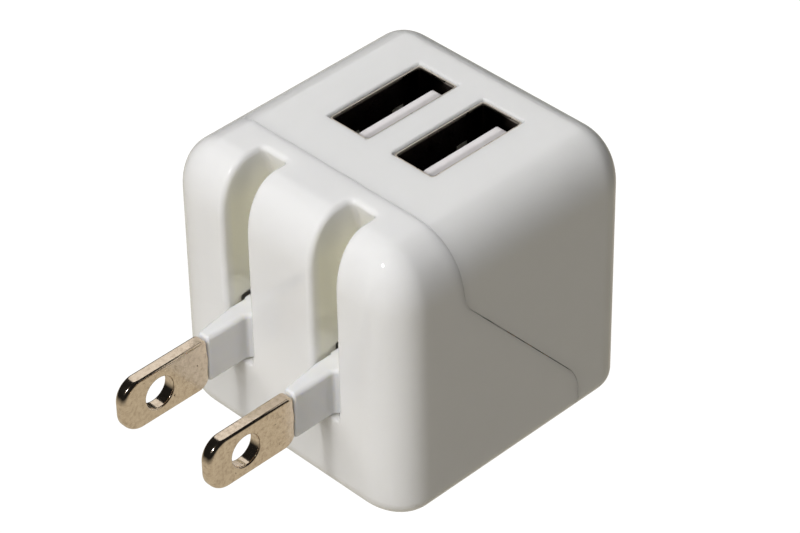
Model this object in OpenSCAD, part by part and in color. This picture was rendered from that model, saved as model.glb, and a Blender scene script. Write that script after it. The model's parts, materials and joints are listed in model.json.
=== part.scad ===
// Cube wall charger with a fold-away two-blade plug and two USB-A sockets.
// Origin: on the wall face, midway between the blades, on their centreline.
// +X runs to the right as seen from the wall, +Y into the body, +Z up.

/* [Body] */
// Width across the two blades
body_w = 33.5; // [33.5:0.1:35]
// Depth from the wall face to the back
body_d = 34; // [34:0.1:36]
// Height
body_h = 33.3; // [33.3:0.1:35]
// Height of the blade centreline above the bottom
blade_height = 13.1; // [13.1:0.1:13.5]
// Thickness of the casing wall
wall = 1.6; // [1.5:0.1:1.7]
// Radius of the upright edges
side_r = 5; // [4:0.1:5.5]
// Radius of the edges round the top
top_r = 6; // [5:0.1:6.4]
// Radius of the edges round the bottom
bottom_r = 3; // [2.5:0.1:3.2]

/* [Parting line of the casing] */
// Distance of the line behind the wall face, on the top
seam_top_y = 8.35; // [8.35:0.05:8.6]
// Where the line turns off towards the back
seam_bend_y = 9.55; // [9.4:0.05:9.8]
// Height of that turn above the bottom
seam_bend_height = 24.6; // [24:0.1:25]
// Distance of the line behind the wall face, at the bottom
seam_bottom_y = 26.25; // [25.5:0.05:26.5]
// Height of the lower turn above the bottom
seam_foot_height = 5.9; // [5.5:0.1:6.5]
// Radius of the upper turn
seam_bend_r = 2.5; // [1.5:0.1:3]
// Radius of the lower turn
seam_foot_r = 5; // [3:0.1:5.5]
// Height of the lip that the rear shell tucks under the front one
lip = 1; // [0.6:0.1:1.2]

/* [Blades] */
// Distance between the blade centres
blade_pitch = 12.7; // [12.6:0.1:12.8]
// Reach of the blades in front of the wall face
blade_reach = 16.3; // [16.2:0.05:16.4]
// Height of a blade
blade_w = 6.1; // [6.1:0.05:6.35]
// Thickness of a blade
blade_t = 1.5; // [1.4:0.05:1.55]
// Radius of the two corners at the tip of a blade
tip_r = 2.3; // [2.2:0.05:2.5]
// Diameter of the hole in a blade
hole_d = 3.7; // [3.6:0.05:3.8]
// Distance of the hole from the wall face
hole_reach = 11.45; // [11.4:0.05:11.5]
// Length of the plastic sleeve in front of the wall face
sleeve_reach = 4.85; // [4.5:0.05:5]

/* [Fold] */
// Distance of the fold axis behind the wall face
pivot_y = 2.7; // [2.65:0.05:2.75]
// Height of the fold axis above the blade centreline
pivot_z = -0.9; // [-0.95:0.05:-0.85]
// Radius of the moulded axle
axle_r = 1.6; // [1.5:0.05:1.6]
// Radial clearance of the axle in its cradles
axle_gap = 0.05; // [0.03:0.01:0.1]
// Width of a hub
hub_w = 3; // [2.8:0.05:3.05]

/* [Slots] */
// Width of a blade slot
slot_w = 3.5; // [3.4:0.05:3.6]
// Depth of a slot behind the wall face
slot_d = 7.15; // [7.1:0.05:7.2]
// Depth of a slot where it runs out in the top face
slot_top_d = 5.9; // [5.8:0.05:6]
// Gap under a hub in its slot
slot_gap = 0.15; // [0.1:0.05:0.2]
// Thickness of the slot walls
cheek = 1.2; // [1:0.05:1.2]

/* [Sockets] */
// Distance between the two sockets
port_pitch = 9.2; // [9:0.1:9.6]
// Offset of the pair to the right of the middle
port_x = 0.2; // [0:0.05:0.3]
// Distance of the sockets behind the wall face
port_y = 20.7; // [20.5:0.1:20.8]
// Short side of a mouth
port_w = 5.8; // [5.8:0.05:5.9]
// Long side of a mouth
port_l = 13.2; // [13.2:0.05:13.3]
// Depth from the top face down to a shield's rim
rim_drop = 0.3; // [0.2:0.05:0.4]
// Depth from the top face down to a tongue's end
tongue_drop = 1.5; // [1.3:0.05:1.6]
// Thickness of a shield's sheet metal
shield_t = 0.3; // [0.25:0.05:0.35]
// Thickness of a tongue
tongue_t = 1.84; // [1.7:0.02:1.9]
// Width of a tongue
tongue_l = 11.1; // [11:0.1:11.2]
// Gap beside a tongue on its narrow side
tongue_gap = 0.7; // [0.6:0.05:0.8]

/* [Boards] */
// Thickness of a circuit board
board_t = 1.2; // [1:0.1:1.2]
// Width of the boards
board_w = 28; // [27.6:0.1:28]
// Height of the main board's underside over the bottom
main_board_height = 3.6; // [3.4:0.1:3.8]
// Height of the socket board's underside over the bottom
port_board_height = 17.3; // [17.3:0.1:17.5]

/* [Hidden] */
$fn = 64;

arc_steps = 8;
over = 1;
bottom_z = -blade_height;
top_z = body_h - blade_height;
seam_reach = 10;
half_pitch = blade_pitch / 2;

// Hub and tail of the rotor, measured from the fold axis
hub_back_y = 2.3;
hub_back_r = 4.3;
tail_r = 4.6;
tail_w = 1.8;
stem_t = 0.9;
stem_w = 4.4;
stem_end_y = 1;
anchor_r = 0.6;
sleeve_t = 1.6;
sleeve_top_z = 3.2;
sleeve_foot_z = -2.6;
flare_y = 0.4;
flare = (hub_w - sleeve_t) / 2;
axle_half = 10.4;
cam_half = 2.7;
cam_side = 2.5;
cam_r = 1.55;

// Channel behind each slot
slot_foot_z = sleeve_foot_z - slot_gap;
tail_floor_z = pivot_z - tail_r - 0.4;
channel_open_z = 5.2;
channel_back_y = slot_d + cheek;
slope_z = top_z - 4.4;
spring_y = pivot_y + tail_r + 0.1;
spring_t = 0.25;
retainer_y = channel_back_y + 0.25;
retainer_t = 1.2;

// Shields, tongues and boards
shield_w = 5.12 + 2 * shield_t;
shield_l = 12.5 + 2 * shield_t;
shield_top_z = top_z - rim_drop;
main_z = bottom_z + main_board_height + board_t;
port_board_z = bottom_z + port_board_height + board_t;
shield_foot_z = port_board_z + 0.1;
board_back_y = 31.2;
main_board_y = 6.9;
port_board_y = 12.6;
tongue_x = 5.12 / 2 - tongue_gap - tongue_t / 2;

// Parts on the main board
transformer_at = [-7.2, 24.5];
core_size = [13, 6, 11];
yoke = 1.6;
centre_leg = 2.6;
transformer_z = main_z + 0.2 + core_size.z / 2;
pin_pitch = 2.54;
header_x = 13.35;
header_y = 19.6;

function port_at(side) = [port_x + side * port_pitch / 2, port_y];

function unit(v) = v / norm(v);

// Arc of radius r that rounds the corner at c between the points a and b
function rounded_corner(a, c, b, r) =
    let (
        u = unit(a - c),
        v = unit(b - c),
        half = acos(u * v) / 2,
        centre = c + unit(u + v) * r / sin(half),
        first = c + u * r / tan(half) - centre,
        last = c + v * r / tan(half) - centre,
        start = atan2(first.y, first.x),
        sweep = (atan2(last.y, last.x) - start + 540) % 360 - 180
    )
    [for (k = [0:arc_steps]) let (t = start + sweep * k / arc_steps) centre + r * [cos(t), sin(t)]];

// Parting line in the Y-Z plane from the top to the bottom, moved by shift towards the wall
function seam_line(shift) =
    let (
        head = [seam_top_y - shift, top_z],
        bend = [seam_bend_y - shift, bottom_z + seam_bend_height],
        foot = [seam_bottom_y - shift, bottom_z + seam_foot_height],
        end = [seam_bottom_y - shift, bottom_z]
    )
    concat(
        [head + [0, over]],
        rounded_corner(head, bend, foot, seam_bend_r),
        rounded_corner(bend, foot, end, seam_foot_r),
        [end - [0, over]]
    );

// Extrudes a Y-Z outline along X, centred on x
module along_x(length, x = 0) {
    translate([x, 0, 0]) rotate([90, 0, 90]) linear_extrude(length, center = true) children();
}

module x_cylinder(r, length, x = 0, y = 0, z = 0) {
    along_x(length, x) translate([y, z]) circle(r);
}

module block(low, high) {
    translate(low) cube(high - low);
}

// Box centred in X and Y on a point, standing on z
module standing_box(size, at, z) {
    translate([at.x - size.x / 2, at.y - size.y / 2, z]) cube(size);
}

module standing_cylinder(r, h, at, z) {
    translate([at.x, at.y, z]) cylinder(r = r, h = h);
}

// Rectangle with its two lower and its two upper corners rounded
module rounded_rectangle(low, high, low_r, high_r) {
    translate([low.x, low.y + low_r]) square([high.x - low.x, high.y - low.y - low_r - high_r]);
    translate([low.x + low_r, low.y]) square([high.x - low.x - 2 * low_r, low_r]);
    translate([low.x + high_r, high.y - high_r]) square([high.x - low.x - 2 * high_r, high_r]);
    for (x = [low.x + low_r, high.x - low_r]) translate([x, low.y + low_r]) circle(low_r);
    for (x = [low.x + high_r, high.x - high_r]) translate([x, high.y - high_r]) circle(high_r);
}

// Whole body, its surface moved inwards by inset
module body_solid(inset = 0) {
    x = body_w / 2 - inset;
    y0 = inset;
    y1 = body_d - inset;
    z0 = bottom_z + inset;
    z1 = top_z - inset;
    intersection() {
        translate([0, 0, z0]) linear_extrude(z1 - z0)
            rounded_rectangle([-x, y0], [x, y1], side_r - inset, side_r - inset);
        along_x(2 * x) rounded_rectangle([y0, z0], [y1, z1], bottom_r - inset, top_r - inset);
        translate([0, y1, 0]) rotate([90, 0, 0]) linear_extrude(y1 - y0)
            rounded_rectangle([-x, z0], [x, z1], bottom_r - inset, top_r - inset);
    }
}

// Space on the wall side of the parting line
module wall_side(shift = 0) {
    along_x(body_w + 2 * over) polygon(concat(
        seam_line(shift),
        [[-seam_reach, bottom_z - over], [-seam_reach, top_z + over]]
    ));
}

// Half skins of the casing: the outer one and the inner one that holds the lip
module outer_skin() {
    difference() {
        body_solid();
        body_solid(wall / 2);
    }
}

module inner_skin() {
    difference() {
        body_solid(wall / 2);
        body_solid(wall);
    }
}

// Outline of a slot in the Y-Z plane: open at the wall face, at the top and behind the hub
module slot_outline() {
    polygon([
        [-over, slot_foot_z], [wall, slot_foot_z], [wall, tail_floor_z],
        [slot_d, tail_floor_z], [slot_d, tail_floor_z - 2 * cheek],
        [retainer_y, tail_floor_z - 2 * cheek], [retainer_y, channel_open_z],
        [slot_d, channel_open_z], [slot_d, slope_z], [slot_top_d, top_z],
        [slot_top_d, top_z + over], [-over, top_z + over]
    ]);
}

module slot_channel(side) {
    intersection() {
        body_solid(wall / 2);
        along_x(slot_w + 2 * cheek, side * half_pitch)
            translate([wall / 2, tail_floor_z - cheek])
            square([channel_back_y - wall / 2, top_z - tail_floor_z + cheek]);
    }
}

// Open cradle of the axle, entered from behind
module axle_cradle() {
    x_cylinder(axle_r + axle_gap, 2 * axle_half + 0.4, 0, pivot_y, pivot_z);
    along_x(2 * axle_half + 0.4)
        translate([pivot_y, pivot_z - axle_r - axle_gap])
        square([retainer_y - pivot_y, 2 * (axle_r + axle_gap)]);
}

module board_posts() {
    for (x = [-11, 11], y = [9.5, 23.5])
        translate([x, y, bottom_z + wall / 2]) cylinder(r = 1.2, h = main_board_height - wall / 2);
}

module front_shell() {
    color("floralwhite") difference() {
        union() {
            intersection() { outer_skin(); wall_side(); }
            intersection() { inner_skin(); wall_side(lip); }
            for (side = [-1, 1]) slot_channel(side);
            board_posts();
        }
        for (side = [-1, 1]) along_x(slot_w, side * half_pitch) slot_outline();
        axle_cradle();
    }
}

// Mouths of the sockets, just wide enough for their shields
module port_openings() {
    for (side = [-1, 1]) standing_box([port_w, port_l, 3 * wall], port_at(side), top_z - 2 * wall);
}

module rear_shell() {
    color("whitesmoke") difference() {
        union() {
            difference() { outer_skin(); wall_side(); }
            difference() { inner_skin(); wall_side(lip); }
        }
        port_openings();
        for (side = [-1, 1]) slot_channel(side);
    }
}

// Outline of a blade in the Y-Z plane
module blade_outline() {
    half = blade_w / 2;
    corner_y = tip_r - blade_reach;
    translate([corner_y, -half]) square([-sleeve_reach - corner_y, blade_w]);
    translate([-blade_reach, tip_r - half]) square([tip_r, blade_w - 2 * tip_r]);
    for (side = [-1, 1]) translate([corner_y, side * (half - tip_r)]) circle(tip_r);
}

// Narrow stem that the sleeve and the hub are moulded round, and the tail that makes contact
module stem_outline() {
    translate([-sleeve_reach, -stem_w / 2]) square([sleeve_reach + stem_end_y, stem_w]);
    intersection() {
        translate([stem_end_y, pivot_z - tail_w / 2]) square([tail_r + pivot_y, tail_w]);
        translate([pivot_y, pivot_z]) circle(tail_r);
    }
}

module blade(side) {
    x = side * half_pitch;
    difference() {
        union() {
            along_x(blade_t, x) blade_outline();
            along_x(stem_t, x) stem_outline();
        }
        x_cylinder(hole_d / 2, 2 * blade_t, x, -hole_reach, 0);
        x_cylinder(anchor_r, 2 * blade_t, x, pivot_y, pivot_z);
    }
}

module left_blade() { color("tan") blade(-1); }

module right_blade() { color("tan") blade(1); }

// Hub in the Y-Z plane behind the axle, rounded so that it clears the slot as it turns
module hub_outline() {
    translate([pivot_y, pivot_z]) {
        circle(pivot_z - sleeve_foot_z);
        intersection() {
            square([hub_back_y, sleeve_top_z - pivot_z]);
            circle(hub_back_r);
        }
    }
}

// Sleeve from above: it widens evenly on its left and flares at 45 degrees on its right
module sleeve_outline() {
    polygon([
        [-sleeve_t / 2, -sleeve_reach], [sleeve_t / 2, -sleeve_reach], [sleeve_t / 2, flare_y],
        [hub_w / 2, flare_y + flare], [hub_w / 2, pivot_y], [-hub_w / 2, pivot_y], [-hub_w / 2, 0]
    ]);
}

module hub(side) {
    x = side * half_pitch;
    translate([x, 0, sleeve_foot_z]) linear_extrude(sleeve_top_z - sleeve_foot_z) sleeve_outline();
    along_x(hub_w, x) hub_outline();
}

module axle() {
    for (side = [-1, 1])
        x_cylinder(axle_r, axle_half - cam_half, side * (axle_half + cam_half) / 2, pivot_y, pivot_z);
    along_x(2 * cam_half) translate([pivot_y, pivot_z]) intersection() {
        square(cam_side, center = true);
        circle(cam_r);
    }
}

module prong_rotor() {
    color("white") difference() {
        union() {
            for (side = [-1, 1]) hub(side);
            axle();
        }
        for (side = [-1, 1]) blade(side);
    }
}

// Cover behind the rotor: its saddles close the cradles
module rotor_retainer() {
    outer_x = half_pitch + slot_w / 2 + cheek;
    saddle_y = pivot_y + axle_r + axle_gap;
    saddle_h = 2 * axle_r;
    color("lightgrey") {
        block([-outer_x, retainer_y, tail_floor_z], [outer_x, retainer_y + retainer_t, channel_open_z]);
        for (side = [-1, 1], x = [half_pitch - slot_w / 2 - cheek / 2, half_pitch + slot_w / 2 + cheek / 2])
            standing_box([cheek - 0.1, retainer_y - saddle_y, saddle_h],
                [side * x, (retainer_y + saddle_y) / 2], pivot_z - saddle_h / 2);
    }
}

// Leaf that presses on the cam in the middle of the axle
module detent_spring() {
    leaf_y = pivot_y + cam_r + axle_gap;
    leaf_t = 0.3;
    leaf_w = 5;
    color("silver") along_x(leaf_w) polygon([
        [leaf_y, pivot_z - 3.2], [leaf_y + leaf_t, pivot_z - 3.2], [leaf_y + leaf_t, 2],
        [retainer_y, channel_open_z - leaf_t], [retainer_y, channel_open_z], [leaf_y, 2.1]
    ]);
}

// Strip that stands in the main board behind a blade's tail
module contact_spring(side) {
    strip_w = 1.6;
    color("goldenrod") along_x(strip_w, side * half_pitch) polygon([
        [spring_y, main_z - board_t - 0.6], [spring_y + spring_t, main_z - board_t - 0.6],
        [spring_y + spring_t, 0.6], [spring_y + 0.8, 2.2], [spring_y + 0.6, 2.3], [spring_y, 0.65]
    ]);
}

module left_contact_spring() { contact_spring(-1); }

module right_contact_spring() { contact_spring(1); }

module main_board() {
    color("seagreen") difference() {
        block([-board_w / 2, main_board_y, main_z - board_t], [board_w / 2, board_back_y, main_z]);
        for (side = [-1, 1])
            standing_box([2, 0.75, 2 * board_t], [side * half_pitch, spring_y + spring_t / 2],
                main_z - 1.5 * board_t);
    }
}

module port_board() {
    color("seagreen") block([-board_w / 2, port_board_y, port_board_z - board_t],
        [board_w / 2, board_back_y, port_board_z]);
}

// Folded sheet shield of a socket, with two windows for its grip springs in each broad side
module usb_shield(side) {
    at = port_at(side);
    color("silver") difference() {
        standing_box([shield_w, shield_l, shield_top_z - shield_foot_z], at, shield_foot_z);
        standing_box([shield_w - 2 * shield_t, shield_l - 2 * shield_t, body_h], at, shield_foot_z - over);
        for (offset = [-3.2, 3.2])
            standing_box([2 * shield_w, 1.8, 4.5], at + [0, offset], shield_top_z - 8);
    }
}

module left_usb_shield() { usb_shield(-1); }

module right_usb_shield() { usb_shield(1); }

// Moulded tongue on its base block
module usb_tongue(side) {
    at = port_at(side);
    gap = 0.05;
    color("white") {
        standing_box([tongue_t, tongue_l, top_z - tongue_drop - shield_foot_z], at + [tongue_x, 0],
            shield_foot_z);
        standing_box([shield_w - 2 * shield_t - 2 * gap, shield_l - 2 * shield_t - 2 * gap, 2.8],
            at, shield_foot_z);
    }
}

module left_usb_tongue() { usb_tongue(-1); }

module right_usb_tongue() { usb_tongue(1); }

// Four contact strips on the broad side of a tongue
module usb_contacts(side) {
    strip = [0.15, 1, 8.5];
    at = port_at(side) + [tongue_x - tongue_t / 2 - strip.x / 2, 0];
    color("goldenrod") for (offset = [-3.5, -1, 1, 3.5])
        standing_box(strip, at + [0, offset], shield_foot_z + 2.8);
}

module left_usb_contacts() { usb_contacts(-1); }

module right_usb_contacts() { usb_contacts(1); }

module transformer_core() {
    window = [(core_size.x - 2 * yoke - centre_leg) / 2, core_size.z - 2 * yoke];
    color("dimgrey") difference() {
        standing_box(core_size, transformer_at, transformer_z - core_size.z / 2);
        for (side = [-1, 1])
            standing_box([window.x, 2 * core_size.y, window.y],
                transformer_at + [side * (centre_leg + window.x) / 2, 0], transformer_z - window.y / 2);
    }
}

module transformer_bobbin() {
    flange = [9.5, 11, 0.6];
    spread = core_size.z / 2 - yoke - 0.1;
    color("ivory") difference() {
        union() {
            standing_box(flange, transformer_at, transformer_z - spread);
            standing_box(flange, transformer_at, transformer_z + spread - flange.z);
            standing_box([centre_leg + 1, core_size.y + 1, 2 * spread], transformer_at,
                transformer_z - spread);
        }
        standing_box([centre_leg + 0.2, core_size.y + 0.2, 3 * spread], transformer_at,
            transformer_z - 1.5 * spread);
    }
}

module transformer_winding() {
    h = core_size.z - 2 * yoke - 1.6;
    color("orange") difference() {
        standing_box([9.2, 10.4, h], transformer_at, transformer_z - h / 2);
        standing_box([centre_leg + 1.1, core_size.y + 1.1, 2 * h], transformer_at, transformer_z - h);
    }
}

module transformer_tape() {
    tape_w = 4;
    tape_t = 0.1;
    gap = 0.02;
    color("gold") difference() {
        standing_box([core_size.x + 2 * tape_t + 2 * gap, tape_w, core_size.z + 2 * tape_t + 2 * gap],
            transformer_at, transformer_z - core_size.z / 2 - tape_t - gap);
        standing_box([core_size.x + 2 * gap, 2 * tape_w, core_size.z + 2 * gap],
            transformer_at, transformer_z - core_size.z / 2 - gap);
    }
}

module insulation_sheet() {
    color("khaki") block([-board_w / 2, 19, 3.3], [board_w / 2 - 1.6, board_back_y, 3.5]);
}

// Can capacitor: sleeved can with a pressed groove near its foot
module can_capacitor(r, h, at) {
    groove_z = main_z + 1.2;
    translate([at.x, at.y, 0]) difference() {
        translate([0, 0, main_z]) cylinder(r = r, h = h);
        translate([0, 0, groove_z]) rotate_extrude() translate([r, 0.3]) circle(0.3);
    }
}

module rear_input_capacitor() { color("darkslateblue") can_capacitor(3.15, 10.5, [2.9, 27.4]); }

module side_input_capacitor() { color("darkslateblue") can_capacitor(3.15, 10.5, [9.4, 27.4]); }

module rear_output_capacitor() { color("lightsteelblue") can_capacitor(2.5, 9, [3, 20.8]); }

module side_output_capacitor() { color("lightsteelblue") can_capacitor(2.5, 9, [8.4, 20.8]); }

module bridge_rectifier() { color("black") standing_box([4.7, 3.9, 2.4], [-4.6, 12.2], main_z); }

module fuse_resistor() {
    color("olivedrab") translate([0.2, 14.2, main_z + 1.6]) rotate([90, 0, 0])
        cylinder(r = 1.5, h = 7, center = true);
}

module choke_core() {
    flange_h = 1;
    color("dimgrey") {
        standing_cylinder(3, flange_h, [-10.4, 14.4], main_z);
        standing_cylinder(1.4, 6.5, [-10.4, 14.4], main_z);
        standing_cylinder(3, flange_h, [-10.4, 14.4], main_z + 5.5);
    }
}

module choke_winding() {
    color("chocolate") difference() {
        standing_cylinder(2.7, 4.4, [-10.4, 14.4], main_z + 1.05);
        standing_cylinder(1.45, 8, [-10.4, 14.4], main_z);
    }
}

module controller_chip() { color("black") standing_box([4.9, 3.9, 1.5], [-4.6, 16.8], main_z); }

module optocoupler() { color("black") standing_box([4.6, 6.4, 3.4], [5, 14], main_z); }

module safety_capacitor() {
    color("royalblue") translate([12.4, 15.5, main_z + 3.4]) rotate([0, 90, 0])
        cylinder(r = 3.2, h = 2.6, center = true);
}

module output_rectifier() { color("black") standing_box([4.3, 2.6, 2.3], [10.6, 10.4], main_z); }

module snubber_diode() {
    color("firebrick") translate([-10.2, 9.6, main_z + 1.2]) rotate([0, 90, 0])
        cylinder(r = 1.1, h = 4.5, center = true);
}

module header_base() {
    color("black") difference() {
        block([header_x - 0.6, header_y - 1.2, main_z],
            [header_x + 0.6, header_y + 3 * pin_pitch + 1.2, main_z + 2]);
        for (k = [0:3])
            standing_box([0.7, 0.7, 6], [header_x, header_y + k * pin_pitch], main_z - over);
    }
}

module header_pins() {
    color("gold") for (k = [0:3])
        standing_box([0.6, 0.6, port_board_z - board_t - main_z], [header_x, header_y + k * pin_pitch],
            main_z);
}

module charge_port_chip() { color("black") standing_box([3, 1.7, 1.1], [0, 28], port_board_z); }

// Surface-mounted resistors, one row per board
module resistor_row(count, from, step, z) {
    color("black") for (k = [0:count - 1]) standing_box([1.2, 2, 0.5], from + k * step, z);
}

module main_board_resistors() { resistor_row(4, [-1.6, 9], [2.2, 0], main_z); }

module port_board_resistors() { resistor_row(5, [-4.8, 30.1], [2.4, 0], port_board_z); }

front_shell();
rear_shell();
prong_rotor();
left_blade();
right_blade();
rotor_retainer();
detent_spring();
left_contact_spring();
right_contact_spring();
main_board();
port_board();
left_usb_shield();
right_usb_shield();
left_usb_tongue();
right_usb_tongue();
left_usb_contacts();
right_usb_contacts();
transformer_core();
transformer_bobbin();
transformer_winding();
transformer_tape();
insulation_sheet();
rear_input_capacitor();
side_input_capacitor();
rear_output_capacitor();
side_output_capacitor();
bridge_rectifier();
fuse_resistor();
choke_core();
choke_winding();
controller_chip();
optocoupler();
safety_capacitor();
output_rectifier();
snubber_diode();
header_base();
header_pins();
charge_port_chip();
main_board_resistors();
port_board_resistors();
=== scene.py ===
"""Looks of the two-port wall charger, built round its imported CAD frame.

Shapes are worked out in millimetres; mesh() turns them into metres.
"""
import json
import math

import bpy
import numpy as np
from mathutils import Euler, Matrix, Vector

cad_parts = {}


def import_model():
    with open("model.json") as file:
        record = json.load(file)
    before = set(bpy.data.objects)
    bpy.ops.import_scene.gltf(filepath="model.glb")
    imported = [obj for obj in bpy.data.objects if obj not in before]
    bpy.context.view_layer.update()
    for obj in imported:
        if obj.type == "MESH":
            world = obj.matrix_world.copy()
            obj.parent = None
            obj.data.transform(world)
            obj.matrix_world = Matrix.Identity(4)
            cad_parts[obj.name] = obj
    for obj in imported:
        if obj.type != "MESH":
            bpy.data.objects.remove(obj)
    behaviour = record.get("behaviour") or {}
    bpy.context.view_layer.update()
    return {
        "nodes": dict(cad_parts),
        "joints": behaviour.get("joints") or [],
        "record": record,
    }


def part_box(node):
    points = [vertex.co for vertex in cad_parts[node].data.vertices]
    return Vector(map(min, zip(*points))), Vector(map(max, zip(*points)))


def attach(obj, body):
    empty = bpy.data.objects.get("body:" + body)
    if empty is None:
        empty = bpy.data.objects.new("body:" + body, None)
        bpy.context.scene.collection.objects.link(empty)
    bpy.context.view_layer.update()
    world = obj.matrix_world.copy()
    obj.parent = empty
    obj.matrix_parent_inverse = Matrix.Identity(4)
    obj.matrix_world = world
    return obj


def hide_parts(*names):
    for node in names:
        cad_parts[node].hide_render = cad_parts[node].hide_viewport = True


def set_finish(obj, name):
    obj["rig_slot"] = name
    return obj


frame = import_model()

MM = 0.001


def box_mm(node):
    """Lowest and highest corner of a CAD node, in millimetres."""
    return [np.array(corner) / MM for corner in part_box(node)]


# ---------------------------------------------------------------- sizes taken from the frame

front_low, front_high = box_mm("front_shell")
rear_low, rear_high = box_mm("rear_shell")
BODY_LOW = np.minimum(front_low, rear_low)
BODY_HIGH = np.maximum(front_high, rear_high)
BODY_CENTRE = (BODY_LOW + BODY_HIGH) / 2
TOP_Z = BODY_HIGH[2]
BOTTOM_Z = BODY_LOW[2]

blade_low, blade_high = box_mm("right_blade")
BLADE_X = (blade_low[0] + blade_high[0]) / 2
BLADE_HALF_T = (blade_high[0] - blade_low[0]) / 2
BLADE_TIP_Y = blade_low[1]
TAIL_END_Y = blade_high[1]
BLADE_HALF_W = blade_high[2]

pivot = np.array(frame["joints"][0]["pos_m"]) / MM
PIVOT_Y, PIVOT_Z = pivot[1], pivot[2]

shield_low, shield_high = box_mm("right_usb_shield")
SHIELD_HALF = ((shield_high - shield_low) / 2)[:2]
SHIELD_FOOT_Z, RIM_Z = shield_low[2], shield_high[2]
TONGUE_Z = box_mm("right_usb_tongue")[1][2]
PORT_AT = {name: sum(box_mm(name + "_usb_shield"))[:2] / 2 for name in ("left", "right")}

# ---------------------------------------------------------------- implicit shapes
# A field is negative inside a solid and grows by about 1 per millimetre across its surface.
# Its argument p holds arrays of X, Y and Z.

FAR = 99  # beyond everything


def joined_max(a, b, radius):
    """Intersection of two fields, its edge rounded to radius."""
    rounded = np.hypot(np.maximum(a + radius, 0), np.maximum(b + radius, 0))
    return np.minimum(-radius, np.maximum(a, b)) + rounded


def joined_min(a, b, radius):
    """Union of two fields, the corner between them filled to radius."""
    return -joined_max(-a, -b, radius)


def block(p, low, high, radius):
    """Rounded block between two corners."""
    q = [abs(p[k] - (low[k] + high[k]) / 2) - (high[k] - low[k]) / 2 + radius for k in range(3)]
    outside = np.sqrt(sum(np.maximum(v, 0) ** 2 for v in q))
    return outside + np.minimum(np.maximum(np.maximum(q[0], q[1]), q[2]), 0) - radius


def sharp_block(p, low, high):
    """Block between two corners, its edges sharp."""
    q = [abs(p[k] - (low[k] + high[k]) / 2) - (high[k] - low[k]) / 2 for k in range(3)]
    return np.maximum(np.maximum(q[0], q[1]), q[2])


def x_rod(p, radius, y, z):
    """Endless rod along X."""
    return np.hypot(p[1] - y, p[2] - z) - radius


EDGE_X, EDGE_Y, EDGE_TOP, EDGE_BOTTOM = 5.47, 4.33, 6.4, 3.0
EDGE_POWER = 2.13
FLAT_LEVEL = 0.05  # below it a point lies under the flat of a face


def body(p):
    """The whole body: a box whose edges are rounded by quarter superellipses."""
    half = (BODY_HIGH - BODY_LOW) / 2
    edge = (EDGE_X, EDGE_Y, np.where(p[2] > BODY_CENTRE[2], EDGE_TOP, EDGE_BOTTOM))
    away = [abs(p[k] - BODY_CENTRE[k]) - half[k] for k in range(3)]
    q = [np.maximum(away[k] + edge[k], 0) for k in range(3)]
    n = EDGE_POWER
    level = sum((q[k] / edge[k]) ** n for k in range(3)) ** (1 / n)
    safe = np.maximum(level, FLAT_LEVEL)
    slope = np.sqrt(sum((q[k] ** (n - 1) / edge[k] ** n) ** 2 for k in range(3))) * safe ** (1 - n)
    deep = np.maximum(np.maximum(away[0], away[1]), away[2])
    return np.where(level < FLAT_LEVEL, deep, (safe - 1) / np.maximum(slope, 1e-6))


SLOT_HALF, SLOT_BACK, SLOT_FOOT = 1.75, 7.15, -2.75
SLOPE_DROP, SLOPE_RUN = 4.4, 1.25
SLOT_CORNER, SLOPE_BLEND, LEDGE_R = 0.55, 0.3, 0.2
MOUTH_R, FOOT_R, MOUTH_FADE = 0.6, 0.12, 1.5


def slots(p):
    """The two blade slots, open to the wall face and to the top."""
    sides = abs(abs(p[0]) - BLADE_X) - SLOT_HALF
    length = math.hypot(SLOPE_DROP, SLOPE_RUN)
    ramp = ((p[1] - SLOT_BACK) * SLOPE_DROP + (p[2] - TOP_Z + SLOPE_DROP) * SLOPE_RUN) / length
    back = joined_max(p[1] - SLOT_BACK, ramp, SLOPE_BLEND)
    return joined_max(joined_max(sides, back, SLOT_CORNER), SLOT_FOOT - p[2], LEDGE_R)


def casing_skin(p):
    """Outside of the casing; the edges of its slots are sharper at the foot."""
    rise = np.clip((p[2] - SLOT_FOOT) / MOUTH_FADE, 0, 1)
    return joined_max(body(p), -slots(p), FOOT_R + (MOUTH_R - FOOT_R) * rise)


SKIN = 1.2
AXLE_HALF, AXLE_R = 10.4, 1.6
AXLE_ROOM_HALF, AXLE_ROOM_R = AXLE_HALF + 0.2, AXLE_R + 0.05
ROOM_BACK, ROOM_TOP, HUB_ROOM_FOOT = 12, 9, -5.9
HUB_ROOM_Y, TAIL_ROOM_Y, TAIL_ROOM_TOP = 1.6, 4, 1
NOTCH_TOP, NOTCH_RISE = 3.25, 0.12
NOTCH_INNER_Y, NOTCH_OUTER_Y = 3.4, 2.1
PORT_HALF, PORT_DEPTH = (2.9, 6.6), 6
PORT_CORNER, PORT_LIP = 0.25, 0.2


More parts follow.
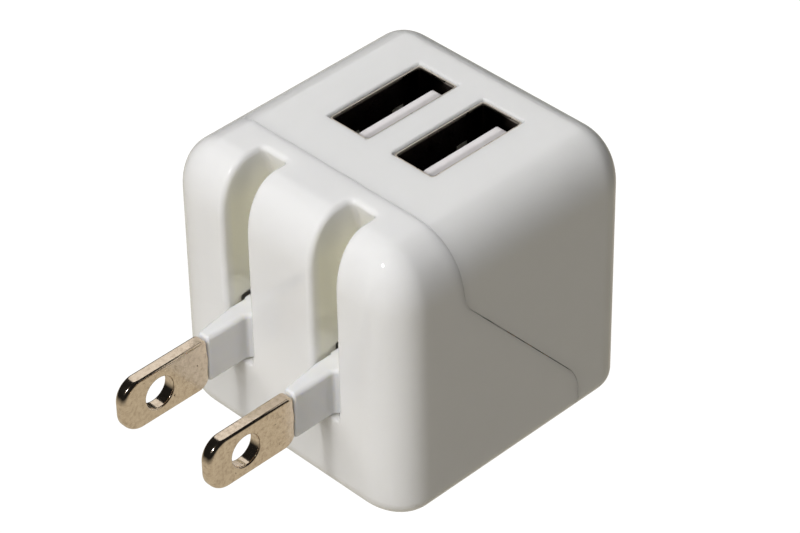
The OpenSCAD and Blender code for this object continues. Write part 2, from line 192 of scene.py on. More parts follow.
def mechanism_room(p):
    """Room behind the slots for the axle, its cradles, the hubs and the blades' tails."""
    cradle = np.maximum(x_rod(p, AXLE_ROOM_R, PIVOT_Y, PIVOT_Z), abs(p[0]) - AXLE_ROOM_HALF)
    notch = sharp_block(p, (-AXLE_ROOM_HALF, PIVOT_Y, PIVOT_Z - AXLE_ROOM_R),
                        (AXLE_ROOM_HALF, ROOM_BACK, PIVOT_Z + AXLE_ROOM_R))
    below = p[2] - NOTCH_TOP - NOTCH_RISE * (p[1] - NOTCH_OUTER_Y)
    inner = sharp_block(p, (-BLADE_X, NOTCH_INNER_Y, PIVOT_Z), (BLADE_X, ROOM_BACK, ROOM_TOP))
    room = np.minimum(np.minimum(cradle, notch), np.maximum(inner, below))
    for side in (-1, 1):
        left, right = side * BLADE_X - SLOT_HALF, side * BLADE_X + SLOT_HALF
        hub = sharp_block(p, (left, HUB_ROOM_Y, HUB_ROOM_FOOT), (right, ROOM_BACK, SLOT_FOOT + 1))
        tail = sharp_block(p, (left, TAIL_ROOM_Y, HUB_ROOM_FOOT), (right, ROOM_BACK, TAIL_ROOM_TOP))
        low_x, high_x = sorted((side * BLADE_X, side * AXLE_ROOM_HALF))
        outer = sharp_block(p, (low_x, NOTCH_OUTER_Y, PIVOT_Z), (high_x, ROOM_BACK, ROOM_TOP))
        for part in (hub, tail, np.maximum(outer, below)):
            room = np.minimum(room, part)
    return room


def casing(p):
    """The casing as a shell with its socket mouths."""
    skin = casing_skin(p)
    shell = np.maximum(skin, -skin - SKIN)
    shell = np.maximum(shell, -mechanism_room(p))
    for x, y in PORT_AT.values():
        mouth = joined_max(abs(p[0] - x) - PORT_HALF[0], abs(p[1] - y) - PORT_HALF[1], PORT_CORNER)
        mouth = np.maximum(mouth, TOP_Z - PORT_DEPTH - p[2])
        shell = joined_max(shell, -mouth, PORT_LIP)
    return shell


SEAM_TOP_Y, SEAM_BEND, SEAM_FOOT = 8.35, (9.55, 11.5), (26.25, -7.2)
SEAM_BEND_R, SEAM_FOOT_R = 0.6, 1.3


def seam(p):
    """Distance behind the casing's parting line."""
    def behind(a, b):
        length = math.hypot(b[0] - a[0], b[1] - a[1])
        return ((b[0] - a[0]) * (p[2] - a[1]) - (b[1] - a[1]) * (p[1] - a[0])) / length
    upper = behind((SEAM_TOP_Y, TOP_Z), SEAM_BEND)
    middle = behind(SEAM_BEND, SEAM_FOOT)
    lower = p[1] - SEAM_FOOT[0]
    return joined_min(upper, joined_max(middle, lower, SEAM_FOOT_R), SEAM_BEND_R)


# ---------------------------------------------------------------- from a field to a mesh


def grid_lines(start, *spans):
    """Grid lines from start through spans of (end, cell size)."""
    lines = [start]
    for end, cell in spans:
        steps = max(1, round((end - lines[-1]) / cell))
        lines += list(np.linspace(lines[-1], end, steps + 1)[1:])
    return np.array(lines)


def mirrored(lines):
    """Grid lines from 0 up, and the same below it."""
    return np.concatenate([-lines[:0:-1], lines])


def gradient(field, points, step=0.01):
    """Slope of a field at each of a list of points."""
    out = np.empty_like(points)
    for k in range(3):
        shift = np.zeros(3)
        shift[k] = step
        out[:, k] = (field((points + shift).T) - field((points - shift).T)) / (2 * step)
    return out


LEAST_SLOPE = 0.2  # keeps a step short where a field is nearly flat


def newton_step(value, slope):
    """Way from each point to the zero of a field with this value and slope there."""
    return -value[:, None] * slope / np.maximum((slope * slope).sum(1), LEAST_SLOPE)[:, None]


def settle(points, field, rounds=3, reach=0.25):
    """Moves points onto the field's surface."""
    for _ in range(rounds):
        step = newton_step(field(points.T), gradient(field, points))
        points = points + np.clip(step, -reach, reach)
    return points


def surface_net(field, axes, relax=2):
    """Closed quad mesh of a field's surface on a grid whose cells may differ in size."""
    grid = np.stack(np.meshgrid(*axes, indexing="ij"))
    value = field(grid)
    cells = tuple(n - 1 for n in value.shape)
    total, count = np.zeros((3,) + cells), np.zeros(cells)
    crossings = []
    for axis in range(3):
        value_in = np.moveaxis(value, axis, 0)
        grid_in = np.moveaxis(grid, axis + 1, 1)
        a, b = value_in[:-1], value_in[1:]
        crosses = (a < 0) != (b < 0)
        share = np.where(crosses, a / np.where(crosses, a - b, 1), 0)
        point = (grid_in[:, :-1] * (1 - share) + grid_in[:, 1:] * share) * crosses
        crosses = np.moveaxis(crosses, 0, axis)
        point = np.moveaxis(point, 1, axis + 1)
        for du in (0, 1):
            for dv in (0, 1):
                cut = [slice(None)] * 3
                others = [k for k in range(3) if k != axis]
                for k, d in zip(others, (du, dv)):
                    cut[k] = slice(d, d + cells[k])
                total += point[(slice(None), *cut)]
                count += crosses[tuple(cut)]
        crossings.append(crosses)
    used = count > 0
    index = np.full(cells, -1)
    index[used] = np.arange(used.sum())
    points = (total[:, used] / count[used]).T
    quads = []
    for axis in range(3):
        u, v = (axis + 1) % 3, (axis + 2) % 3
        where = np.argwhere(crossings[axis])
        for k in (u, v):
            where = where[(where[:, k] > 0) & (where[:, k] < cells[k])]
        corners = []
        for du, dv in ((1, 1), (0, 1), (0, 0), (1, 0)):
            at = where.copy()
            at[:, u] -= du
            at[:, v] -= dv
            corners.append(index[tuple(at.T)])
        quad = np.stack(corners, 1)
        outward = value[tuple(where.T)] < 0
        quads.append(np.where(outward[:, None], quad, quad[:, ::-1]))
    quads = np.concatenate(quads)
    edges = np.concatenate([quads[:, [k, (k + 1) % 4]] for k in range(4)])
    edges = np.unique(np.sort(edges, axis=1), axis=0)
    both = np.concatenate([edges, edges[:, ::-1]])
    degree = np.bincount(both[:, 0], minlength=len(points))
    points = settle(points, field)
    for _ in range(relax):
        mean = [np.bincount(both[:, 0], points[both[:, 1], k], len(points)) / degree for k in range(3)]
        points = settle(points + 0.5 * (np.stack(mean, 1) - points), field)
    return points, quads


def as_triangles(points, quads):
    """Splits quads along their shorter diagonal."""
    a, b, c, d = (points[quads[:, k]] for k in range(4))
    straight = ((a - c) ** 2).sum(1) <= ((b - d) ** 2).sum(1)
    first = np.where(straight[:, None], quads[:, [0, 1, 2]], quads[:, [0, 1, 3]])
    second = np.where(straight[:, None], quads[:, [0, 2, 3]], quads[:, [1, 2, 3]])
    return np.concatenate([first, second])


def mesh(name, points, faces, body_name, normals):
    """Smooth-shaded object from points in millimetres, with one normal per face corner.

    A normal of zero leaves that corner to Blender.
    """
    data = bpy.data.meshes.new(name)
    data.from_pydata((np.asarray(points) * MM).tolist(), [], [list(map(int, f)) for f in faces])
    data.validate()
    data.shade_smooth()
    data.normals_split_custom_set(normals)
    obj = bpy.data.objects.new(name, data)
    bpy.context.scene.collection.objects.link(obj)
    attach(obj, body_name)
    return obj


def unit(v):
    """Vectors scaled to length 1."""
    return v / np.maximum(np.linalg.norm(v, axis=-1, keepdims=True), 1e-9)


# ---------------------------------------------------------------- the two casing shells

CHAMFER = 0.035
NARROW_GAP, WIDE_GAP = 0.005, 0.035
GAP_TURNS = (-9, -6, 8, 11)  # heights where the gap starts and stops widening, and narrowing again
SNAP = 0.12  # points nearer to the cut than this are moved onto it
ON_SKIN = 0.02  # how far from the skin a point still counts as on it
SPECK = 8  # open loops of no more corners than this are left alone


def gap_at(z):
    """Half width of the parting line, which shows only on the slanting part."""
    return np.interp(z, GAP_TURNS, (NARROW_GAP, WIDE_GAP, WIDE_GAP, NARROW_GAP))


def cut_along(points, triangles, side, surface):
    """Keeps the part of a triangle mesh where side is negative, its new edge on side's zero line."""
    def to_line(p):
        for _ in range(3):
            normal = unit(gradient(surface, p))
            slope = gradient(side, p)
            slope -= (slope * normal).sum(1)[:, None] * normal
            p = settle(p + newton_step(side(p.T), slope), surface, 1)
        return p
    points = points.copy()
    value = side(points.T)
    near = abs(value) < SNAP
    points[near] = to_line(points[near])
    value[near] = 0
    sign = np.sign(value).astype(int)
    signs = sign[triangles]
    kept = [tuple(t) for t in triangles[(signs.max(1) <= 0) & (signs.min(1) < 0)]]
    mixed = triangles[(signs.max(1) > 0) & (signs.min(1) < 0)]
    middle, pairs = {}, []

    def between(a, b):
        key = (min(a, b), max(a, b))
        if key not in middle:
            middle[key] = len(points) + len(pairs)
            pairs.append(key)
        return middle[key]
    for triangle in mixed:
        ring = []
        for a, b in zip(triangle, np.roll(triangle, -1)):
            if sign[a] <= 0:
                ring.append(a)
            if sign[a] * sign[b] < 0:
                ring.append(between(a, b))
        kept += [(ring[0], ring[k], ring[k + 1]) for k in range(1, len(ring) - 1)]
    a, b = np.array(pairs).T
    share = (value[a] / (value[a] - value[b]))[:, None]
    new = to_line(points[a] * (1 - share) + points[b] * share)
    points = np.concatenate([points, new])
    kept = np.array(kept)
    used, flat = np.unique(kept, return_inverse=True)
    return points[used], flat.reshape(-1, 3)


def open_loops(triangles):
    """Loops of vertices round the open edges, in the direction of the missing faces."""
    edges = np.concatenate([triangles[:, [k, (k + 1) % 3]] for k in range(3)])
    edges = set(map(tuple, edges.tolist()))
    after = {b: a for a, b in edges if (b, a) not in edges}
    loops = []
    while after:
        start, to = after.popitem()
        loop = [start, to]
        while loop[-1] in after:
            loop.append(after.pop(loop[-1]))
        loops.append(loop[:-1] if loop[0] == loop[-1] else loop)
    return [loop for loop in loops if len(loop) > SPECK]


def strip(first, second):
    """Faces between two rings of equal length."""
    ahead = [(k + 1) % len(first) for k in range(len(first))]
    return [(first[k], first[m], second[m], second[k]) for k, m in enumerate(ahead)]


def zip_loops(points, first, second):
    """Triangles between two closed loops that run the same way."""
    start = int(np.argmin(((points[second] - points[first[0]]) ** 2).sum(1)))
    second = second[start:] + second[:start]
    a, b, faces = 0, 0, []
    while a < len(first) or b < len(second):
        p, q = first[a % len(first)], second[b % len(second)]
        p_next, q_next = first[(a + 1) % len(first)], second[(b + 1) % len(second)]
        step_a = ((points[p_next] - points[q]) ** 2).sum() if a < len(first) else np.inf
        step_b = ((points[q_next] - points[p]) ** 2).sum() if b < len(second) else np.inf
        if step_a <= step_b:
            faces.append((p, p_next, q))
            a += 1
        else:
            faces.append((p, q_next, q))
            b += 1
    return faces


def shell_piece(name, node, points, triangles, direction):
    """One shell: the casing cut along the parting line, with a fine chamfer down into the gap."""
    def side(p):
        return direction * seam(p) + gap_at(p[2]) + CHAMFER
    points, triangles = cut_along(points, triangles, side, casing)
    skin = casing_skin(points.T)
    loops = sorted(open_loops(triangles), key=lambda loop: -skin[loop].mean())
    outer, inner = loops[0], loops[-1]
    edge = points[outer]
    normal = unit(gradient(casing_skin, edge))
    across = direction * gradient(seam, edge)
    across = unit(across - (across * normal).sum(1)[:, None] * normal)
    rings = [outer]
    for depth in (CHAMFER, SKIN / 2):
        rings.append(list(range(len(points), len(points) + len(outer))))
        points = np.concatenate([points, edge - depth * normal + CHAMFER * across])
    faces = [tuple(t) for t in triangles]
    smooth = (abs(skin) < ON_SKIN)[triangles].all(1)
    faces += strip(rings[0], rings[1]) + strip(rings[1], rings[2])
    faces += zip_loops(points, rings[2], inner[::-1])
    exact = unit(gradient(casing_skin, points[:len(skin)]))
    corner = np.where(smooth[:, None, None], exact[triangles], 0).reshape(-1, 3)
    extra = sum(len(f) for f in faces[len(triangles):])
    normals = np.concatenate([corner, np.zeros((extra, 3))])
    piece = mesh(name, points, faces, "housing", normals.tolist())
    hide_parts(node)
    return piece


def build_casing():
    x_lines = mirrored(grid_lines(0, (1.2, 0.4), (9.1, 0.25), (11, 0.38), (17.2, 0.47)))
    y_lines = grid_lines(-0.4, (8.8, 0.25), (13.4, 0.4), (15, 0.25), (26.4, 0.45), (28, 0.25), (34.4, 0.45))
    z_lines = grid_lines(-13.5, (-6.4, 0.45), (-3, 0.25), (3, 0.4), (4.4, 0.25), (16, 0.45), (20.6, 0.22))
    points, quads = surface_net(casing, (x_lines, y_lines, z_lines))
    triangles = as_triangles(points, quads)
    front = shell_piece("front_shell_visual", "front_shell", points, triangles, 1)
    rear = shell_piece("rear_shell_visual", "rear_shell", points, triangles, -1)
    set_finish(front, "warm_casing")
    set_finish(rear, "cool_casing")
    return front, rear


front_shell, rear_shell = build_casing()

# ---------------------------------------------------------------- plug rotor and blades

SLEEVE_HALF_T, SLEEVE_FOOT_Z, SLEEVE_TOP_Z, SLEEVE_END_Y = 0.8, -2.6, 3.2, -4.85
SLEEVE_EDGE, SLEEVE_END_R, HUB_EDGE = 0.5, 0.3, 0.15
FLARE_Y, HUB_HALF = 0.4, 1.5
HUB_FRONT_Y, HUB_UNDER_R, HUB_BACK_Y, HUB_BACK_R = -0.5, 1.7, 2.3, 4.3
CAM_HALF, WAIST_HALF = 2.7, 1.25


def rotor(p):
    """Moulded rotor: two sleeves with hubs on one axle, which is square at the cam."""
    x, y, z = p[0] - np.copysign(BLADE_X, p[0]), p[1], p[2]
    taper = (HUB_HALF - SLEEVE_HALF_T) / -SLEEVE_END_Y
    left = -x - SLEEVE_HALF_T - taper * np.clip(y - SLEEVE_END_Y, 0, -SLEEVE_END_Y)
    right = x - SLEEVE_HALF_T
    right = joined_min(right, (right - y + FLARE_Y) / math.sqrt(2), HUB_EDGE)
    sides = np.maximum(left, joined_max(right, x - HUB_HALF, HUB_EDGE))
    upright = np.maximum(z - SLEEVE_TOP_Z, SLEEVE_FOOT_Z - z)
    sleeve = joined_max(joined_max(sides, upright, SLEEVE_EDGE), SLEEVE_END_Y - y, SLEEVE_END_R)
    sleeve = np.maximum(sleeve, y - PIVOT_Y)
    back = sharp_block(p, (-FAR, PIVOT_Y + HUB_FRONT_Y, PIVOT_Z), (FAR, PIVOT_Y + HUB_BACK_Y, SLEEVE_TOP_Z))
    back = np.maximum(back, x_rod(p, HUB_BACK_R, PIVOT_Y, PIVOT_Z))
    hub = np.minimum(back, x_rod(p, HUB_UNDER_R, PIVOT_Y, PIVOT_Z))
    hub = joined_max(hub, abs(x) - HUB_HALF, HUB_EDGE)
    axle = np.maximum(x_rod(p, AXLE_R, PIVOT_Y, PIVOT_Z), abs(p[0]) - AXLE_HALF)
    square = np.maximum(abs(y - PIVOT_Y), abs(z - PIVOT_Z)) - WAIST_HALF
    axle = np.where(abs(p[0]) < CAM_HALF, np.maximum(axle, square), axle)
    return np.minimum(np.minimum(sleeve, hub), axle)


TIP_R, TOP_SHOULDER, UNDER_SHOULDER = 2.3, 0.8, 1.5
BEVEL, TIP_BEVEL = 0.3, 0.55
HOLE_Y, HOLE_R, HOLE_EDGE = -11.45, 1.85, 0.16
ROOT_GAP, ROOT_WAVE, ROOT_RATE, ROOT_START = 0.03, 0.07, 2.1, 0.6  # the plate's slightly wavy root
STEM_HALF_T, STEM_HALF_W, STEM_OVERLAP, STEM_END_Y = 0.45, 2.2, 1, 1
TAIL_HALF_W = 0.9


def blade(p):
    """Stamped blade with its stem and its contact tail."""
    y, z = p[1], p[2]
    root = SLEEVE_END_Y - ROOT_GAP + ROOT_WAVE * np.sin(ROOT_RATE * z + ROOT_START)
    shoulder = np.where(z > 0, TOP_SHOULDER, UNDER_SHOULDER)
    outline = joined_max(abs(z) - BLADE_HALF_W, BLADE_TIP_Y - y, TIP_R)
    outline = joined_max(outline, y - root, shoulder)
    bevel = BEVEL + (TIP_BEVEL - BEVEL) * np.clip((BLADE_TIP_Y + TIP_R - y) / TIP_R, 0, 1)
    plate = joined_max(abs(abs(p[0]) - BLADE_X) - BLADE_HALF_T, outline, bevel)
    plate = joined_max(plate, HOLE_R - np.hypot(y - HOLE_Y, z), HOLE_EDGE)
    stem = np.maximum(abs(z) - STEM_HALF_W, np.maximum(y - STEM_END_Y, SLEEVE_END_Y - STEM_OVERLAP - y))
    tail = np.maximum(abs(z - PIVOT_Z) - TAIL_HALF_W, STEM_END_Y - y)
    tail = np.maximum(tail, x_rod(p, TAIL_END_Y - PIVOT_Y, PIVOT_Y, PIVOT_Z))
    thin = np.maximum(abs(abs(p[0]) - BLADE_X) - STEM_HALF_T, np.minimum(stem, tail))
    return np.minimum(plate, thin)


def field_piece(node, body_name, slot_name, field, axes, relax=2):
    """Visual piece that stands for one CAD node, made from a field."""
    points, quads = surface_net(field, axes, relax)
    triangles = as_triangles(points, quads)
    normals = unit(gradient(field, points))[triangles].reshape(-1, 3)
    piece = mesh(node + "_visual", points, triangles, body_name, normals.tolist())
    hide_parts(node)
    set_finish(piece, slot_name)
    return piece


def build_prongs():
    rotor_x = mirrored(grid_lines(0, (4.6, 0.4), (8.1, 0.12), (10.8, 0.35)))
    rotor_y = grid_lines(-5, (-4.2, 0.1), (0.4, 0.2), (2, 0.1), (7.6, 0.2))
    rotor_z = grid_lines(-2.8, (-1.8, 0.1), (2.4, 0.22), (3.5, 0.1))
    pieces = [field_piece("prong_rotor", "prongs", "rotor_plastic", rotor, (rotor_x, rotor_y, rotor_z))]
    for side, node in ((-1, "left_blade"), (1, "right_blade")):
        axes = (side * BLADE_X + np.linspace(-0.9, 0.9, 19),
                grid_lines(BLADE_TIP_Y - 0.2, (-4.6, 0.1), (7.5, 0.2)),
                np.linspace(-3.4, 3.4, 61))
        pieces.append(field_piece(node, "prongs", "blade_metal", blade, axes))
    return pieces


rotor_piece, *blade_pieces = build_prongs()

# ---------------------------------------------------------------- sockets

SHEET, SHIELD_R, RIM_R = 0.3, 0.55, 0.1
WINDOW_Y, WINDOW_HALF_W, WINDOW_DROP, WINDOW_HALF_H = 3.2, 0.9, 5.75, 2.25
TONGUE_T, TONGUE_GAP, TONGUE_ENDS = 1.84, 0.7, (-5.5, 6.0)
SIDE_SLANT, END_SLANT, SLANT_R, TONGUE_R = 1.1, 0.5, 0.1, 0.12
BASE_T, BASE_CLEAR, BASE_R, BASE_FILLET = 2.8, 0.05, 0.15, 0.2


def shield_at(x, y):
    """Folded sheet shield with windows for its grip springs."""
    def shield(p):
        along = abs(p[1] - y)
        outer = joined_max(abs(p[0] - x) - SHIELD_HALF[0], along - SHIELD_HALF[1], SHIELD_R)
        wall = np.maximum(outer, -outer - SHEET)
        window = np.maximum(abs(along - WINDOW_Y) - WINDOW_HALF_W,
                            abs(p[2] - RIM_Z + WINDOW_DROP) - WINDOW_HALF_H)
        wall = np.maximum(wall, -window)
        return joined_max(joined_max(wall, p[2] - RIM_Z, RIM_R), SHIELD_FOOT_Z - p[2], RIM_R)
    return shield


def tongue_at(x, y):
    """Tongue on its base; the top slants off most towards +X."""
    base_x, base_y = SHIELD_HALF - SHEET - BASE_CLEAR
    base_low = (x - base_x, y - base_y, SHIELD_FOOT_Z)
    base_high = (x + base_x, y + base_y, SHIELD_FOOT_Z + BASE_T)
    right = x + SHIELD_HALF[0] - SHEET - TONGUE_GAP
    low = (right - TONGUE_T, y + TONGUE_ENDS[0], SHIELD_FOOT_Z + 1)
    high = (right, y + TONGUE_ENDS[1], TONGUE_Z)

    def tongue(p):
        side = (p[0] - right + p[2] - TONGUE_Z + SIDE_SLANT) / math.sqrt(2)
        past_end = np.maximum(low[1] - p[1], p[1] - high[1])
        ends = (past_end + p[2] - TONGUE_Z + END_SLANT) / math.sqrt(2)
        tip = joined_max(block(p, low, high, TONGUE_R), joined_max(side, ends, SLANT_R), TONGUE_R)
        return joined_min(tip, block(p, base_low, base_high, BASE_R), BASE_FILLET)
    return tongue


def build_sockets():
    made = []
    for name, (x, y) in PORT_AT.items():
        axes = (mirrored(grid_lines(0, (2.3, 0.6), (3, 0.09))) + x,
                mirrored(grid_lines(0, (2.1, 0.5), (4.3, 0.2), (5.6, 0.5), (6.7, 0.1))) + y,
                grid_lines(5.3, (5.8, 0.15), (11.4, 0.6), (16.6, 0.25), (19.3, 0.5), (20.1, 0.07)))
        made.append(field_piece(name + "_usb_shield", "housing", "shield_metal",
                                shield_at(x, y), axes, 0))
        axes = (grid_lines(-2.9, (2.9, 0.12)) + x,
                mirrored(grid_lines(0, (5, 0.5), (6.6, 0.14))) + y,
                grid_lines(5.3, (9, 0.2), (17.6, 0.5), (18.9, 0.1)))
        made.append(field_piece(name + "_usb_tongue", "housing", "tongue_plastic",
                                tongue_at(x, y), axes, 0))
    return made


socket_pieces = build_sockets()

# ---------------------------------------------------------------- materials


class Nodes:
    """Short way of writing a material's node tree."""

    def __init__(self, name, **sockets):
        self.material = bpy.data.materials.new(name)
        self.material.use_nodes = True
        self.tree = self.material.node_tree
        self.shader = self.tree.nodes["Principled BSDF"]
        for socket, value in sockets.items():
            self.shader.inputs[socket.replace("_", " ")].default_value = value
        self.place = self.add("ShaderNodeTexCoord").outputs["Object"]

    def add(self, kind, **settings):
        node = self.tree.nodes.new(kind)
        for key, value in settings.items():
            setattr(node, key, value)
        return node

    def link(self, out, socket):
        self.tree.links.new(out, socket)

    def noise(self, scale, detail=3, rough=0.5):
        node = self.add("ShaderNodeTexNoise")
        self.link(self.place, node.inputs["Vector"])
        node.inputs["Scale"].default_value = scale
        node.inputs["Detail"].default_value = detail
        node.inputs["Roughness"].default_value = rough
        return node.outputs["Fac"]

    def ramp(self, value, stops):
        """Colour ramp through (position, colour) stops."""
        node = self.add("ShaderNodeValToRGB")
        self.link(value, node.inputs["Fac"])
        elements = node.color_ramp.elements
        while len(elements) < len(stops):
            elements.new(0.5)
        for element, (position, colour) in zip(elements, stops):
            element.position = position
            element.color = (*colour, 1)
        return node.outputs["Color"]

    def range(self, value, low, high, to_low, to_high):
        """Value, taken from low..high to to_low..to_high and held at their ends."""
        node = self.add("ShaderNodeMapRange")
        self.link(value, node.inputs["Value"])
        ends = {"From Min": low, "From Max": high, "To Min": to_low, "To Max": to_high}
        for socket, number in ends.items():
            node.inputs[socket].default_value = number
        return node.outputs["Result"]

    def mix(self, share, a, b):
        """Blend from colour output or value a to b by share."""
        node = self.add("ShaderNodeMix", data_type="RGBA")
        self.link(share, node.inputs["Factor"])
        for k, value in ((6, a), (7, b)):
            if isinstance(value, tuple):
                node.inputs[k].default_value = (*value, 1)
            else:
                self.link(value, node.inputs[k])
        return node.outputs[2]

    def math(self, operation, *values):
        node = self.add("ShaderNodeMath", operation=operation)
        for socket, value in zip(node.inputs, values):
            if isinstance(value, (int, float)):
                socket.default_value = value
            else:
                self.link(value, socket)
        return node.outputs["Value"]

    def axis(self, letter):
        """Object coordinate along X, Y or Z, in metres."""
        split = self.add("ShaderNodeSeparateXYZ")
        self.link(self.place, split.inputs["Vector"])
        return split.outputs[letter]

    def bump(self, height, distance, strength=1.0):
        node = self.add("ShaderNodeBump")
        self.link(height, node.inputs["Height"])
        node.inputs["Distance"].default_value = distance
        node.inputs["Strength"].default_value = strength
        self.link(node.outputs["Normal"], self.shader.inputs["Normal"])

    def colour(self, out):
        self.link(out, self.shader.inputs["Base Color"])

    def rough(self, out):
        self.link(out, self.shader.inputs["Roughness"])


def finish_with(material, *objects):
    for obj in objects:
        obj.data.materials.clear()
        obj.data.materials.append(material)


def painted_slot_light_mask(n):
    """Mask for the painted bounce light: 1 on the walls of the blade slots, fading to 0 at their mouths and
    on the rest of the casing.
    """
    off_slot = n.math("ABSOLUTE", n.math("SUBTRACT", n.math("ABSOLUTE", n.axis("X")), BLADE_X * MM))
    between = n.range(off_slot, (SLOT_HALF + 0.25) * MM, (SLOT_HALF + 0.05) * MM, 0, 1)
    behind_face = n.range(n.axis("Y"), 0.3 * MM, 1.5 * MM, 0, 1)
    in_front = n.range(n.axis("Y"), (SLOT_BACK + 0.3) * MM, (SLOT_BACK + 0.1) * MM, 0, 1)
    under_top = n.range(n.axis("Z"), (TOP_Z - 0.3) * MM, (TOP_Z - 5) * MM, 0, 1)
    across = n.math("MULTIPLY", between, behind_face)
    return n.math("MULTIPLY", across, n.math("MULTIPLY", in_front, under_top))


def casing_plastic(name, colour, painted_slot_light):
    """Glossy translucent moulding with a very slight waviness; inside the slots its colour is painted
    creamier and brighter, as painted bounce light.
    """
    n = Nodes(name, IOR=1.5, Subsurface_Weight=0.6, Subsurface_Scale=0.0025)
    n.shader.inputs["Subsurface Radius"].default_value = (1.0, 1.0, 0.95)
    darker = tuple(0.985 * c for c in colour)
    shade = n.ramp(n.noise(90, 2), [(0.3, darker), (0.7, colour)])
    n.colour(n.mix(painted_slot_light_mask(n), shade, painted_slot_light))
    n.rough(n.range(n.noise(700, 3), 0.3, 0.7, 0.06, 0.09))
    n.bump(n.noise(260, 2), 0.00001, 0.4)
    return n.material


# The third colour is painted bounce light: a creamier, brighter colour for the slot walls, in place of
# light bouncing round inside them.
WARM, COOL, SLOT_PAINTED_LIGHT = (0.80, 0.793, 0.782), (0.79, 0.785, 0.77), (0.90, 0.88, 0.76)
finish_with(casing_plastic("warm_casing_plastic", WARM, SLOT_PAINTED_LIGHT), front_shell)
finish_with(casing_plastic("cool_casing_plastic", COOL, SLOT_PAINTED_LIGHT), rear_shell)


def rotor_painted_shade_plastic():
    """The same white plastic, its colour a little greyer as painted shade, and less glossy."""
    n = Nodes("rotor_painted_shade_plastic", IOR=1.5, Subsurface_Weight=0.4, Subsurface_Scale=0.0015)
    n.shader.inputs["Subsurface Radius"].default_value = (1.0, 0.9, 0.6)
    n.colour(n.ramp(n.noise(300, 2), [(0.3, (0.72, 0.72, 0.73)), (0.7, (0.75, 0.75, 0.76))]))
    n.rough(n.range(n.noise(900, 3), 0.3, 0.7, 0.12, 0.2))
    n.bump(n.noise(400, 2), 0.00001, 0.4)
    return n.material


finish_with(rotor_painted_shade_plastic(), rotor_piece)


NICKEL = [(0.3, (0.56, 0.45, 0.34)), (0.5, (0.75, 0.62, 0.48)), (0.72, (0.84, 0.71, 0.56))]
PIT = (0.12, 0.08, 0.05)


def blade_nickel():
    """Bright plated metal with a fine warm mottle and a few dark pits."""
    n = Nodes("champagne_nickel", Metallic=1.0)
    mottle = n.ramp(n.noise(2200, 5, 0.65), NICKEL)
    pits = n.range(n.noise(1300, 2), 0.735, 0.76, 0, 1)
    n.colour(n.mix(pits, mottle, PIT))
    n.rough(n.range(n.noise(900, 4), 0.3, 0.7, 0.1, 0.17))
    n.bump(n.noise(2600, 4, 0.6), 0.00001, 0.25)
    return n.material


finish_with(blade_nickel(), *blade_pieces)

PLAIN = {
    # slot: colour, second colour, noise scale, roughness low and high, metallic, bump in metres
    "inner_plastic": ((0.60, 0.60, 0.58), (0.54, 0.54, 0.52), 400, 0.4, 0.55, 0, 2e-6),
    "spring_steel": ((0.62, 0.62, 0.62), (0.50, 0.49, 0.47), 1500, 0.2, 0.35, 1, 2e-6),
    "contact_metal": ((0.72, 0.40, 0.22), (0.55, 0.28, 0.14), 1200, 0.2, 0.35, 1, 1e-6),
    "board_laminate": ((0.03, 0.16, 0.07), (0.02, 0.11, 0.05), 900, 0.35, 0.5, 0, 3e-6),
    "tongue_plastic": ((0.80, 0.77, 0.77), (0.75, 0.71, 0.71), 800, 0.3, 0.45, 0, 3e-6),
    "ferrite": ((0.05, 0.05, 0.055), (0.08, 0.08, 0.085), 1400, 0.5, 0.7, 0, 8e-6),
    "enamelled_wire": ((0.50, 0.18, 0.06), (0.35, 0.11, 0.04), 1800, 0.25, 0.4, 1, 1e-5),
    "yellow_tape": ((0.80, 0.58, 0.08), (0.68, 0.46, 0.05), 500, 0.3, 0.45, 0, 5e-6),
    "dark_sleeve": ((0.03, 0.035, 0.06), (0.02, 0.022, 0.04), 700, 0.3, 0.45, 0, 4e-6),
    "bare_can": ((0.70, 0.70, 0.70), (0.58, 0.58, 0.58), 1200, 0.25, 0.4, 1, 2e-6),
    "chip_epoxy": ((0.025, 0.025, 0.027), (0.04, 0.04, 0.042), 2500, 0.5, 0.7, 0, 6e-6),
    "green_lacquer": ((0.05, 0.22, 0.12), (0.03, 0.16, 0.08), 900, 0.25, 0.4, 0, 4e-6),
    "blue_lacquer": ((0.04, 0.12, 0.40), (0.03, 0.08, 0.30), 900, 0.25, 0.4, 0, 4e-6),
}


def plain_material(slot_name):
    """Two-tone grained finish of a part inside."""
    colour, second, scale, low, high, metallic, height = PLAIN[slot_name]
    n = Nodes(slot_name + "_finish", Metallic=float(metallic))
    grain = n.noise(scale, 4, 0.6)
    n.colour(n.ramp(grain, [(0.3, second), (0.65, colour)]))
    n.rough(n.range(grain, 0.3, 0.7, low, high))
    n.bump(n.noise(scale * 2.3, 3), height, 0.5)
    return n.material


# Painted shade: a near-black sheet colour for the shadowed walls down inside the sockets; the rim keeps the
# plated colour.
PAINTED_SOCKET_SHADE = [(0.3, (0.010, 0.007, 0.006)), (0.65, (0.022, 0.016, 0.012))]
BRIGHT_RIM = (0.62, 0.56, 0.48)


def shield_metal():
    """Plated sheet, bright at the rim; further down it is duller and painted near-black as shade inside the
    socket.
    """
    n = Nodes("shield_metal_finish", Metallic=1.0)
    dark = n.ramp(n.noise(900, 4, 0.6), PAINTED_SOCKET_SHADE)
    rim_above_painted_shade = n.range(n.axis("Z"), (RIM_Z - 0.35) * MM, (RIM_Z - 0.05) * MM, 0, 1)
    n.colour(n.mix(rim_above_painted_shade, dark, BRIGHT_RIM))
    n.rough(n.range(n.noise(900, 4), 0.3, 0.7, 0.22, 0.4))
    n.bump(n.noise(2000, 3), 2e-6, 0.5)
    return n.material


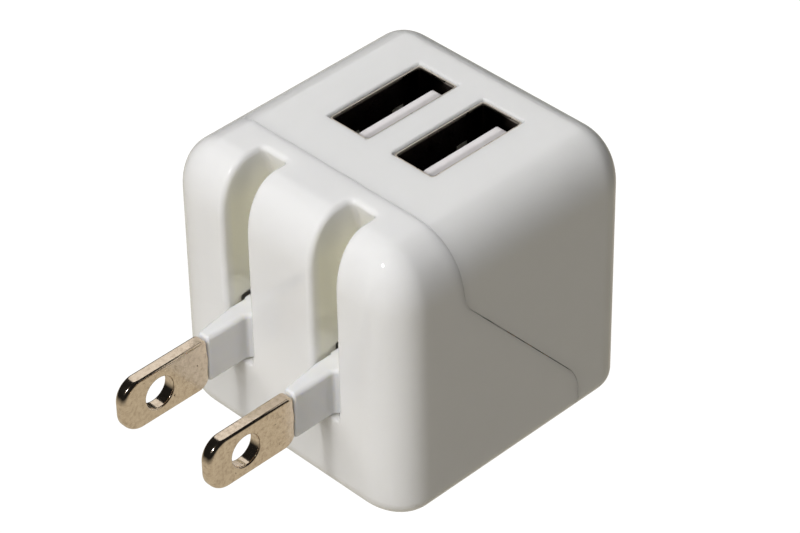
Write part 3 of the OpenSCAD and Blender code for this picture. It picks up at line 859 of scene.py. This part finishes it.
slot_of = {part["node"]: part["material_slot"] for part in frame["record"]["subparts"]}
finishes = {slot_name: plain_material(slot_name) for slot_name in PLAIN}
finishes["shield_metal"] = shield_metal()
for piece in socket_pieces:
    finish_with(finishes[piece["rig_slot"]], piece)
for node, obj in frame["nodes"].items():
    if not obj.hide_render:
        finish_with(finishes[slot_of[node]], obj)

# ---------------------------------------------------------------- camera, floor and light

CAMERA_AT = (200.11, -177.678, 221.774)
CAMERA_TURN = (51.933, 0.776, 45.194)  # degrees about X, Y and Z
FILM_WIDTH, LENS = 36, 154.39
CLIP_NEAR, CLIP_FAR = 0.05, 20
FLOOR_HALF, FLOOR_GLOW = 6.0, 1.05


def stand_in_scene(name, data):
    obj = bpy.data.objects.new(name, data)
    bpy.context.scene.collection.objects.link(obj)
    return obj


def camera():
    obj = stand_in_scene("camera", bpy.data.cameras.new("camera"))
    obj.data.sensor_width, obj.data.lens = FILM_WIDTH, LENS
    obj.data.clip_start, obj.data.clip_end = CLIP_NEAR, CLIP_FAR
    turn = Euler([math.radians(angle) for angle in CAMERA_TURN])
    obj.matrix_world = Matrix.LocRotScale(Vector(CAMERA_AT) * MM, turn, None)
    bpy.context.scene.camera = obj


def floor():
    """Plain white floor that only the camera sees; world() gives its bounce light."""
    data = bpy.data.meshes.new("floor")
    around = ((-1, -1), (1, -1), (1, 1), (-1, 1))
    corners = [(x * FLOOR_HALF, y * FLOOR_HALF, BOTTOM_Z * MM) for x, y in around]
    data.from_pydata(corners, [], [(0, 1, 2, 3)])
    obj = stand_in_scene("floor", data)
    material = bpy.data.materials.new("floor_white")
    material.use_nodes = True
    tree = material.node_tree
    tree.nodes.clear()
    glow = tree.nodes.new("ShaderNodeEmission")
    glow.inputs["Strength"].default_value = FLOOR_GLOW
    out = tree.nodes.new("ShaderNodeOutputMaterial")
    tree.links.new(glow.outputs["Emission"], out.inputs["Surface"])
    data.materials.append(material)
    obj.visible_diffuse = obj.visible_glossy = obj.visible_shadow = False


def light(name, direction, distance, diameter, irradiance):
    """Round soft light, diameter and distance in metres, that gives the object this irradiance."""
    data = bpy.data.lights.new(name, "AREA")
    data.shape = "DISK"
    data.size = diameter
    data.energy = irradiance * math.pi * (distance ** 2 + diameter ** 2 / 4)
    obj = stand_in_scene(name, data)
    aim = Vector(direction).normalized()
    obj.location = Vector(BODY_CENTRE * MM) + aim * distance
    obj.rotation_mode = "QUATERNION"
    obj.rotation_quaternion = aim.to_track_quat("Z", "Y")
    return obj


FLOOR_BOUNCE, DIM_ROOM = (0.57, 0.53, 0.44), (0.015, 0.015, 0.015)
BOUNCE_FADE = (-0.6, -0.05)  # Z of a direction where the bounce starts to fade, and where it is gone


def world():
    """Dim room above, bright floor bounce below."""
    studio = bpy.data.worlds.new("studio")
    bpy.context.scene.world = studio
    studio.use_nodes = True
    tree = studio.node_tree
    place, split, fade, mix = (tree.nodes.new("ShaderNode" + kind)
                               for kind in ("TexCoord", "SeparateXYZ", "MapRange", "Mix"))
    tree.links.new(place.outputs["Generated"], split.inputs["Vector"])
    tree.links.new(split.outputs["Z"], fade.inputs["Value"])
    fade.inputs["From Min"].default_value, fade.inputs["From Max"].default_value = BOUNCE_FADE
    mix.data_type = "RGBA"
    tree.links.new(fade.outputs["Result"], mix.inputs["Factor"])
    mix.inputs[6].default_value = (*FLOOR_BOUNCE, 1)
    mix.inputs[7].default_value = (*DIM_ROOM, 1)
    tree.links.new(mix.outputs[2], tree.nodes["Background"].inputs["Color"])


camera()
floor()
light("key", (0.0, -0.737, 0.67), 0.9, 0.085, 0.95)
light("front", (0.06, -0.646, 0.763), 0.8, 0.9, 2.45).visible_glossy = False
light("fill", (-0.5, 0.5, 0.7), 0.8, 0.7, 0.46)
world()
bpy.context.scene.view_settings.view_transform = "Standard"
